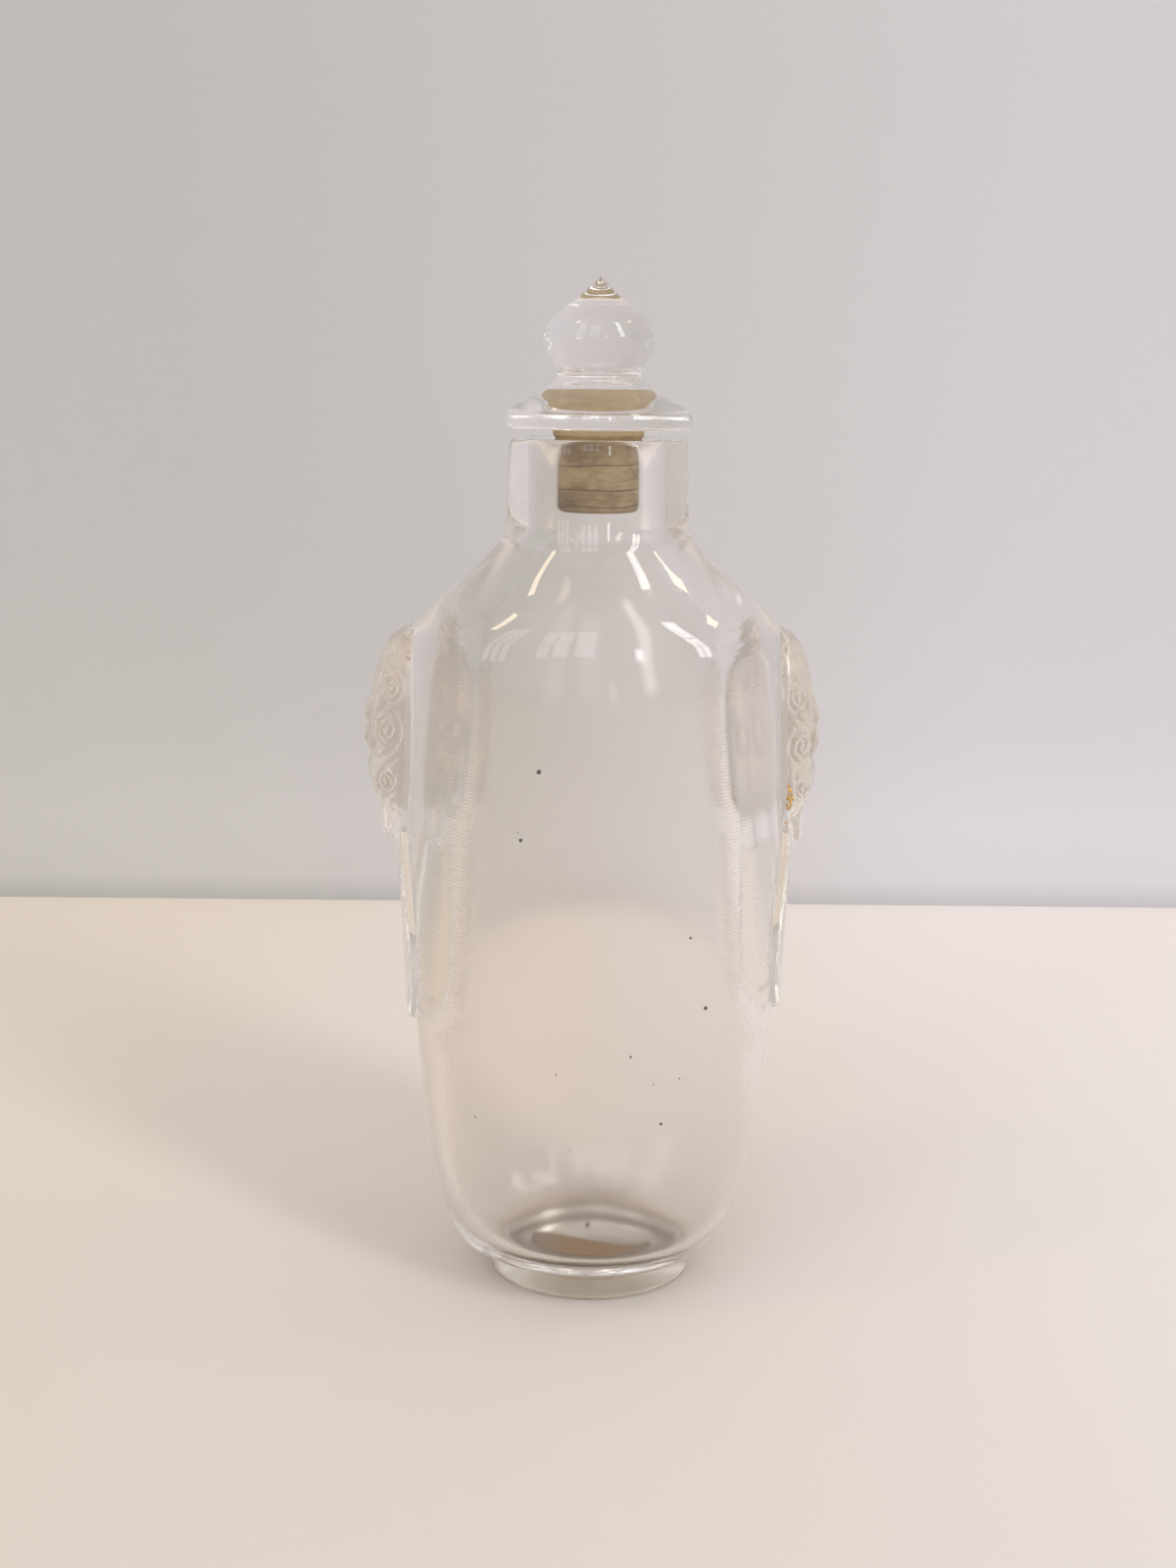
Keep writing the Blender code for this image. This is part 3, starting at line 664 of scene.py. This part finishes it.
def buildResidue(r=residue, b=bottle):
    columns, rows = 60, 12
    xs = np.linspace(r["span"][0], r["span"][1], columns + 1)
    back = smoothCurve(r["backEdge"], xs)
    front = -r["frontEdge"] * np.sqrt(1 - (xs / r["floorWidth"]) ** 2)
    back = np.maximum(back, front + 0.00002)
    t = np.linspace(0, 1, rows + 1)[None, :]
    y = back[:, None] + (front - back)[:, None] * t
    swell = np.sqrt(np.clip(4 * t * (1 - t), 0, 1)) * np.clip(4 * (1 - np.abs(xs / r["span"][1])[:, None]), 0, 1)
    low = b["baseThickness"] + r["lift"]
    top = np.stack(np.broadcast_arrays(xs[:, None], y, low + 0.00001 + r["thickness"] * swell), -1)
    bottom = np.stack(np.broadcast_arrays(xs[:, None], y, low + 0 * y), -1)
    count, wide = (columns + 1) * (rows + 1), rows + 1
    faces = []
    for i in range(columns):
        for k in range(rows):
            a = i * wide + k
            faces.append((a, a + 1, a + wide + 1, a + wide)[::-1])
            faces.append((count + a, count + a + 1, count + a + wide + 1, count + a + wide))
    edge = [i * wide for i in range(columns + 1)] + [columns * wide + k for k in range(1, wide)]
    edge += [i * wide + rows for i in range(columns - 1, -1, -1)] + list(range(rows - 1, 0, -1))
    for a, c in zip(edge, edge[1:] + edge[:1]):
        faces.append((a, c, count + c, count + a))
    points = np.concatenate([top.reshape(-1, 3), bottom.reshape(-1, 3)])
    obj = meshObject("snuffResidue", points, faces, [residueMaterial()])
    turnOutwards(obj)
    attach(obj, "root")
    return obj


buildResidue()
print("residue placed")


# specks of old dust on the glass, and amber crumbs caught in the right mask's carving
specks = {
    # place on the bottle in X and Z, and size
    "places": [(-0.0037, 0.0416, 0.00017), (-0.0049, 0.0369, 0.00013), (0.0065, 0.0300, 0.00010),
               (0.0077, 0.0247, 0.00014), (-0.0082, 0.0160, 0.00007), (-0.0025, 0.0201, 0.00006),
               (0.0060, 0.0196, 0.00006), (0.0048, 0.0162, 0.00011), (0.0042, 0.0193, 0.00005),
               (0.0026, 0.0215, 0.00009), (-0.0015, 0.0143, 0.00005), (-0.0051, 0.0374, 0.00005)],
    "onFloor": [(-0.0003, 0.0011, 0.00024)],            # X, Y and size of one on the hollow's floor
    "color": (0.10, 0.085, 0.07), "seed": 4,
}
crumbs = {
    "places": [(0.0133, 0.0393, 0.00012), (0.01345, 0.0390, 0.00016), (0.0136, 0.0386, 0.00013),
               (0.0134, 0.0384, 0.00017), (0.01355, 0.0381, 0.00015), (0.0133, 0.0379, 0.00012),
               (0.01345, 0.0376, 0.00014), (0.0136, 0.0378, 0.00010), (0.01335, 0.0387, 0.00010),
               (0.0137, 0.0383, 0.00009), (0.0134, 0.0364, 0.00010), (0.01345, 0.0361, 0.00008)],
    "color": (0.62, 0.33, 0.06), "seed": 9,
}


def newTree(name, inputs):
    # an empty node tree with named inputs, for geometry in and out
    tree = bpy.data.node_groups.new(name, "GeometryNodeTree")
    face = tree.interface
    face.new_socket("Geometry", in_out="INPUT", socket_type="NodeSocketGeometry")
    for label, kind, value in inputs:
        socket = face.new_socket(label, in_out="INPUT", socket_type=kind)
        if value is not None:
            socket.default_value = value
    face.new_socket("Geometry", in_out="OUTPUT", socket_type="NodeSocketGeometry")
    return tree


def finishTree(tree, geometry, enter, leave):
    # real faces with their material, since the export keeps no instances
    real, finish = tree.nodes.new("GeometryNodeRealizeInstances"), tree.nodes.new("GeometryNodeSetMaterial")
    tree.links.new(geometry, real.inputs[0])
    tree.links.new(real.outputs[0], finish.inputs["Geometry"])
    tree.links.new(enter.outputs["Finish"], finish.inputs["Material"])
    tree.links.new(finish.outputs[0], leave.inputs[0])


def scatterTree():
    # a grain on every point, each with its own size and turn
    tree = newTree("scatterGrains", (
        ("Roughness", "NodeSocketFloat", 0.35), ("Flatness", "NodeSocketFloat", 0.55),
        ("Seed", "NodeSocketInt", 1), ("Finish", "NodeSocketMaterial", None)))
    new, link = tree.nodes.new, tree.links.new
    enter, leave = new("NodeGroupInput"), new("NodeGroupOutput")
    ball = new("GeometryNodeMeshIcoSphere")
    ball.inputs["Radius"].default_value, ball.inputs["Subdivisions"].default_value = 1.0, 2
    lump = addNode(tree, "ShaderNodeTexNoise")
    lump.inputs["Scale"].default_value = 1.7
    away = mathNode(tree, "SUBTRACT", lump.outputs["Fac"], 0.5)
    push = mathNode(tree, "MULTIPLY", away, enter.outputs["Roughness"])
    offset = addNode(tree, "ShaderNodeVectorMath", operation="SCALE")
    link(new("GeometryNodeInputNormal").outputs[0], offset.inputs[0])
    link(push, offset.inputs["Scale"])
    bend = new("GeometryNodeSetPosition")
    link(ball.outputs["Mesh"], bend.inputs["Geometry"])
    link(offset.outputs[0], bend.inputs["Offset"])
    size = new("GeometryNodeInputNamedAttribute")
    size.inputs["Name"].default_value = "grainSize"
    shape = new("ShaderNodeCombineXYZ")
    shape.inputs["X"].default_value = shape.inputs["Z"].default_value = 1.0
    link(enter.outputs["Flatness"], shape.inputs["Y"])
    scale = addNode(tree, "ShaderNodeVectorMath", operation="SCALE")
    link(shape.outputs[0], scale.inputs[0])
    link(size.outputs["Attribute"], scale.inputs["Scale"])
    turn = addNode(tree, "FunctionNodeRandomValue", data_type="FLOAT_VECTOR")
    turn.inputs["Min"].default_value, turn.inputs["Max"].default_value = (0, 0, 0), (0.5, 6.28, 0.5)
    link(enter.outputs["Seed"], turn.inputs["Seed"])
    place = new("GeometryNodeInstanceOnPoints")
    for source, socket in ((enter.outputs["Geometry"], "Points"), (bend.outputs[0], "Instance"),
                           (turn.outputs[0], "Rotation"), (scale.outputs[0], "Scale")):
        link(source, place.inputs[socket])
    finishTree(tree, place.outputs[0], enter, leave)
    return tree


def applyTree(source, tree, values, name):
    # runs a node tree on an object and keeps the result as a plain mesh
    modifier = source.modifiers.new("nodes", "NODES")
    modifier.node_group = tree
    for item in tree.interface.items_tree:
        if item.item_type == "SOCKET" and item.in_out == "INPUT" and item.name in values:
            modifier[item.identifier] = values[item.name]
    bpy.context.view_layer.update()
    result = bpy.data.meshes.new_from_object(source.evaluated_get(bpy.context.evaluated_depsgraph_get()))
    source.modifiers.remove(modifier)
    bpy.data.objects.remove(source)
    result.name = name
    obj = bpy.data.objects.new(name, result)
    bpy.context.scene.collection.objects.link(obj)
    return obj


grainTree = scatterTree()


def scatterGrains(name, g, roughness):
    # each grain sits on the glass where a line from the front meets it
    bpy.context.view_layer.update()
    points, sizes = [], []
    for x, z, size in g["places"]:
        found, spot, normal, face = bottlePiece.ray_cast(Vector((x, -0.03, z)), Vector((0, 1, 0)))
        if found:
            points.append(spot + normal * size * 0.1)
            sizes.append(size)
    for x, y, size in g.get("onFloor", []):
        points.append((x, y, bottle["baseThickness"] + size * 0.5))
        sizes.append(size)
    source = meshObject(name + "Points", points, [], [])
    source.data.attributes.new("grainSize", "FLOAT", "POINT").data.foreach_set("value", sizes)
    m, tree, shader = newMaterial(name + "Finish", g["color"], roughness)
    shade = noise(tree, objectCoords(tree), 6000.0, 2.0)
    dark, pale = [k * 0.6 for k in g["color"]], [min(1.0, k * 1.5) for k in g["color"]]
    tint = ramp(tree, shade, [(0.35, dark), (0.65, pale)])
    tree.links.new(tint, shader.inputs["Base Color"])
    obj = applyTree(source, grainTree, {"Seed": g["seed"], "Finish": m}, name)
    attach(obj, "root")
    return obj


scatterGrains("dustSpecks", specks, 0.9)
scatterGrains("amberCrumbs", crumbs, 0.35)
print("specks and crumbs placed")


def turnTree():
    # spins a profile round the axis
    tree = newTree("turnProfile", (
        ("Steps", "NodeSocketInt", 96), ("Profile points", "NodeSocketInt", 10),
        ("Seam", "NodeSocketFloat", 0.000002), ("Finish", "NodeSocketMaterial", None)))
    new, link = tree.nodes.new, tree.links.new
    enter, leave = new("NodeGroupInput"), new("NodeGroupOutput")
    steps, perRow = enter.outputs["Steps"], enter.outputs["Profile points"]
    grid = new("GeometryNodeMeshGrid")
    link(mathNode(tree, "ADD", steps, 1), grid.inputs["Vertices X"])
    link(perRow, grid.inputs["Vertices Y"])
    index = new("GeometryNodeInputIndex").outputs[0]
    column = mathNode(tree, "FLOOR", mathNode(tree, "DIVIDE", index, perRow))
    row = mathNode(tree, "FLOORED_MODULO", index, perRow)
    angle = mathNode(tree, "MULTIPLY", mathNode(tree, "DIVIDE", column, steps), 2 * math.pi)
    sample = addNode(tree, "GeometryNodeSampleIndex", data_type="FLOAT_VECTOR", domain="POINT")
    link(enter.outputs["Geometry"], sample.inputs["Geometry"])
    link(new("GeometryNodeInputPosition").outputs[0], sample.inputs["Value"])
    link(row, sample.inputs["Index"])
    spin = addNode(tree, "ShaderNodeVectorRotate", rotation_type="Z_AXIS")
    link(sample.outputs["Value"], spin.inputs["Vector"])
    link(angle, spin.inputs["Angle"])
    move = new("GeometryNodeSetPosition")
    link(grid.outputs["Mesh"], move.inputs["Geometry"])
    link(spin.outputs[0], move.inputs["Position"])
    merge = new("GeometryNodeMergeByDistance")
    link(move.outputs[0], merge.inputs["Geometry"])
    link(enter.outputs["Seam"], merge.inputs["Distance"])
    finishTree(tree, merge.outputs[0], enter, leave)
    return tree


def turned(name, profile, material, steps):
    source = meshObject(name + "Profile", [(r, 0.0, z) for r, z in profile], [], [])
    obj = applyTree(source, turningTree, {"Steps": steps, "Profile points": len(profile), "Finish": material}, name)
    turnOutwards(obj)
    obj.data.shade_smooth()
    obj.data.set_sharp_from_angle(angle=math.radians(35))
    return obj


turningTree = turnTree()

cap = {
    "lift": 0.00065, "radius": 0.00633, "rim": 0.00115, "rounding": 0.00022, "height": 0.0098,
    "waist": 0.00284, "bulb": 0.00376, "steps": 128,
}


def capOutline(c=cap):
    under = bottle["lipHeight"] + c["lift"]
    tall, wide, bulb = c["height"], c["radius"], c["bulb"]
    stations = (
        (c["rim"], 0.97 * wide), (0.168 * tall, 0.857 * wide), (0.213 * tall, 0.705 * wide),
        (0.26 * tall, 0.58 * wide), (0.306 * tall, 0.51 * wide), (0.345 * tall, c["waist"]),
        (0.383 * tall, 1.02 * c["waist"]), (0.444 * tall, 0.85 * bulb), (0.515 * tall, 0.96 * bulb),
        (0.592 * tall, bulb), (0.66 * tall, 0.96 * bulb), (0.714 * tall, 0.885 * bulb),
        (0.78 * tall, 0.70 * bulb), (0.862 * tall, 0.395 * bulb), (tall, 0.0))
    heights = np.linspace(tall - 0.00002, c["rim"], 90)
    points = [(0.0, under + tall)] + [(float(smoothCurve(stations, t)), under + t) for t in heights]
    points += [(wide - 0.00006, under + c["rim"] - 0.00006), (wide, under + c["rim"] - c["rounding"])]
    for turn in np.linspace(0, math.pi / 2, 5):
        points.append((wide - c["rounding"] * (1 - math.cos(turn)), under + c["rounding"] * (1 - math.sin(turn))))
    return points + [(0.6 * wide, under), (0.3 * wide, under), (0.0, under)]


capPiece = turned("capGlass", capOutline(), capGlass(glass), cap["steps"])
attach(capPiece, "root")
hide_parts("stopper")
print("cap", len(capPiece.data.vertices), "points")

cork = {
    "depth": 0.0049, "plugGap": 0.0003, "headRadius": 0.0031, "corner": 0.00045, "seat": 0.00002, "steps": 120,
    "color": (0.37, 0.25, 0.105), "pale": (0.56, 0.42, 0.22), "dark": (0.22, 0.14, 0.065),
    # the head's paler tint is painted light
    "crackColor": (0.17, 0.105, 0.05), "litHeadTint": (0.86, 0.66, 0.40), "litHeadShare": 0.6,
    "grainStrength": 0.6, "grainDepth": 0.0001,
    "cracks": [(0.05925, 0.00009), (0.05815, 0.00007), (0.06085, 0.00005)],   # height, half width
}


def corkMaterial(c=cork):
    m, tree, shader = newMaterial("agedCork", c["color"], 0.8)
    coarse = noise(tree, objectCoords(tree, (420, 420, 520)), 1.0, 3.0)
    fine = noise(tree, objectCoords(tree, (1500, 1500, 5200)), 1.0, 3.0)
    grain = mathNode(tree, "MULTIPLY_ADD", fine, 0.30, mathNode(tree, "MULTIPLY", coarse, 0.70))
    tint = ramp(tree, grain, [(0.36, c["dark"]), (0.47, c["color"]), (0.60, c["pale"])])
    split = splitCoords(tree)
    sway = mathNode(tree, "MULTIPLY_ADD", noise(tree, objectCoords(tree), 260.0, 2.0), 0.0007, -0.00035)
    height = mathNode(tree, "ADD", split.outputs["Z"], sway)
    crack = None
    for place, halfWidth in c["cracks"]:
        away = mathNode(tree, "ABSOLUTE", mathNode(tree, "SUBTRACT", height, place))
        line = mapRange(tree, away, 0.0, halfWidth, 1.0, 0.0)
        crack = line if crack is None else mathNode(tree, "MAXIMUM", crack, line)
    # the cracks come and go round the cork
    broken = mapRange(tree, noise(tree, objectCoords(tree, (300, 300, 60)), 1.0, 2.0), 0.42, 0.52)
    crack = mathNode(tree, "MULTIPLY", crack, broken)
    darkened = mixColors(tree, crack, tint, (*c["crackColor"], 1.0))
    # the head under the cap is painted paler, as painted light on the part above the lip
    lip = bottle["lipHeight"]
    litHead = mapRange(tree, split.outputs["Z"], lip - 0.0003, lip + 0.0003, 0.0, c["litHeadShare"])
    tree.links.new(mixColors(tree, litHead, darkened, (*c["litHeadTint"], 1.0)), shader.inputs["Base Color"])
    relief = mathNode(tree, "SUBTRACT", grain, crack)
    addBump(tree, shader, relief, c["grainStrength"], c["grainDepth"])
    return m


def corkOutline(c=cork):
    lip = bottle["lipHeight"]
    top, bottom = lip + cap["lift"] + c["seat"], lip - c["depth"]
    plug = bottle["boreRadius"] - c["plugGap"]
    points = [(0.0, top), (0.5 * c["headRadius"], top), (c["headRadius"], top), (c["headRadius"], lip + 0.0002)]
    points += [(0.5 * (c["headRadius"] + plug), lip), (plug, lip - 0.0003)]
    points += [(plug, z) for z in np.linspace(lip - 0.0006, bottom + c["corner"] + 0.0001, 24)]
    for turn in np.linspace(0, math.pi / 2, 6):
        points.append((plug - c["corner"] * (1 - math.cos(turn)), bottom + c["corner"] * (1 - math.sin(turn))))
    return points + [(0.5 * plug, bottom), (0.0, bottom)]


corkPiece = turned("corkPlug", corkOutline(), corkMaterial(), cork["steps"])
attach(corkPiece, "root")
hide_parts("cork")
print("cork", len(corkPiece.data.vertices), "points")


# table, wall and soft studio light
stage = {
    "wallPlace": 0.086, "reach": 1.2,
    "tableColorShadeStops": [(0.30, (0.83, 0.735, 0.64)), (0.70, (0.885, 0.82, 0.79))],     # from left to right, darker and warmer at the left as painted shade
    "tableShadeFade": [(0.05, 0.88), (0.75, 1.0)],           # painted shade, darker near the camera: from near to far
    # the wall is darker at the left as painted shade
    "wallColorShadeStops": [(0.30, (0.585, 0.573, 0.565)), (0.70, (0.68, 0.66, 0.682))],
    # the wall carries painted shade where it meets the table and is painted darker upwards: share of 125 mm,
    # brightness
    "wallShadeFade": [(0.0, 0.77), (0.026, 0.98), (0.09, 1.0), (0.18, 0.94), (0.33, 0.893), (0.52, 0.87), (0.8, 0.84)],
    # the room is darker far out to both sides, which gives the clear edges their grey lines
    "roomStops": [(0.80, (0.93, 0.92, 0.93)), (0.93, (0.44, 0.43, 0.40))], "roomStrength": 0.87,
}


def stageMaterial(name, stops, fade, along, scale, shift):
    # colors, with painted shade, run from left to right over the middle 250 mm, and a painted shade fades along one
    # axis
    m, tree, shader = newMaterial(name, stops[0][1], 0.8)
    split = splitCoords(tree)
    color = ramp(tree, mathNode(tree, "MULTIPLY_ADD", split.outputs["X"], 4.0, 0.5), stops)
    place = mathNode(tree, "MULTIPLY_ADD", split.outputs[along], scale, shift)
    shade = ramp(tree, place, [(t, (k, k, k)) for t, k in fade])
    tree.links.new(mixColors(tree, 1.0, color, shade, blend_type="MULTIPLY"), shader.inputs["Base Color"])
    return m


def stageSheet(name, corners, material):
    sheet = meshObject(name, corners, [(0, 1, 2, 3)], [material])


def buildStage(s=stage):
    wall, reach, low = s["wallPlace"], s["reach"], -0.00002
    stageSheet("table", [(-reach, -reach, low), (reach, -reach, low), (reach, wall, low), (-reach, wall, low)],
               stageMaterial("tablePaper", s["tableColorShadeStops"], s["tableShadeFade"], "Y", 5.0, 0.5))
    stageSheet("wall", [(-reach, wall, low), (reach, wall, low), (reach, wall, reach), (-reach, wall, reach)],
               stageMaterial("wallPaper", s["wallColorShadeStops"], s["wallShadeFade"], "Z", 8.0, 0.0))


buildStage()

windows = {
    # azimuth from the right towards the front, elevation, columns, rows, pane width and height,
    # gap, all in degrees, then brightness and color
    "tallWindow": (42.5, 33, 2, 3, 4.2, 15.0, 0.9, 7.5, (1.0, 0.98, 0.95)),
    "smallPane": (77, 12, 1, 1, 3.0, 12.0, 0.0, 7.0, (0.95, 0.97, 1.0)),
    "faintPanesNear": (100, 27, 3, 2, 5.0, 18.0, 2.5, 1.7, (0.94, 0.97, 1.0)),
    "faintPanesFar": (133, 28, 3, 2, 3.5, 22.0, 2.0, 1.9, (0.94, 0.97, 1.0)),
    "warmLampLeft": (157, 54, 1, 1, 4.0, 10.0, 0.0, 9.0, (1.0, 0.84, 0.56)),
    "warmLampRight": (-12, 50, 2, 1, 9.0, 4.0, 5.0, 9.0, (1.0, 0.84, 0.56)),
}
roomDistance = 0.70                                     # metres from the bottle's middle


def windowPane(name, azimuth, elevation, width, height, brightness, color):
    data = bpy.data.lights.new(name, "AREA")
    data.shape = "RECTANGLE"
    data.size, data.size_y = (2 * roomDistance * math.tan(math.radians(k / 2)) for k in (width, height))
    data.energy, data.color = math.pi * data.size * data.size_y * brightness, color
    obj = bpy.data.objects.new(name, data)
    a, e = math.radians(azimuth), math.radians(elevation)
    toward = Vector((math.cos(a) * math.cos(e), -math.sin(a) * math.cos(e), math.sin(e)))
    obj.location = Vector((0, 0, 0.05)) + toward * roomDistance
    obj.rotation_euler = toward.to_track_quat("Z", "Y").to_euler()
    bpy.context.scene.collection.objects.link(obj)


def makeWindow(name, azimuth, elevation, columns, rows, width, height, gap, brightness, color):
    for c in range(columns):
        for r in range(rows):
            aside = (c - (columns - 1) / 2) * (width + gap)
            above = (r - (rows - 1) / 2) * (height + gap)
            windowPane(f"{name}{c}{r}", azimuth + aside, elevation + above, width, height, brightness, color)


for windowName, values in windows.items():
    makeWindow(windowName, *values)

world = bpy.data.worlds.new("softRoom")
bpy.context.scene.world = world
world.use_nodes = True
room = world.node_tree
direction = addNode(room, "ShaderNodeSeparateXYZ")
room.links.new(addNode(room, "ShaderNodeTexCoord").outputs["Generated"], direction.inputs[0])
aside = mathNode(room, "ABSOLUTE", direction.outputs["X"])
room.links.new(ramp(room, aside, stage["roomStops"]), room.nodes["Background"].inputs["Color"])
room.nodes["Background"].inputs["Strength"].default_value = stage["roomStrength"]

bpy.context.scene.view_settings.view_transform = "Standard"
light = bpy.context.scene.cycles
light.max_bounces = light.transmission_bounces = 220    # fewer leave dark wedges in the thick glass
light.glossy_bounces, light.diffuse_bounces = 200, 4
light.caustics_refractive = light.caustics_reflective = True
print("stage and lights ready")
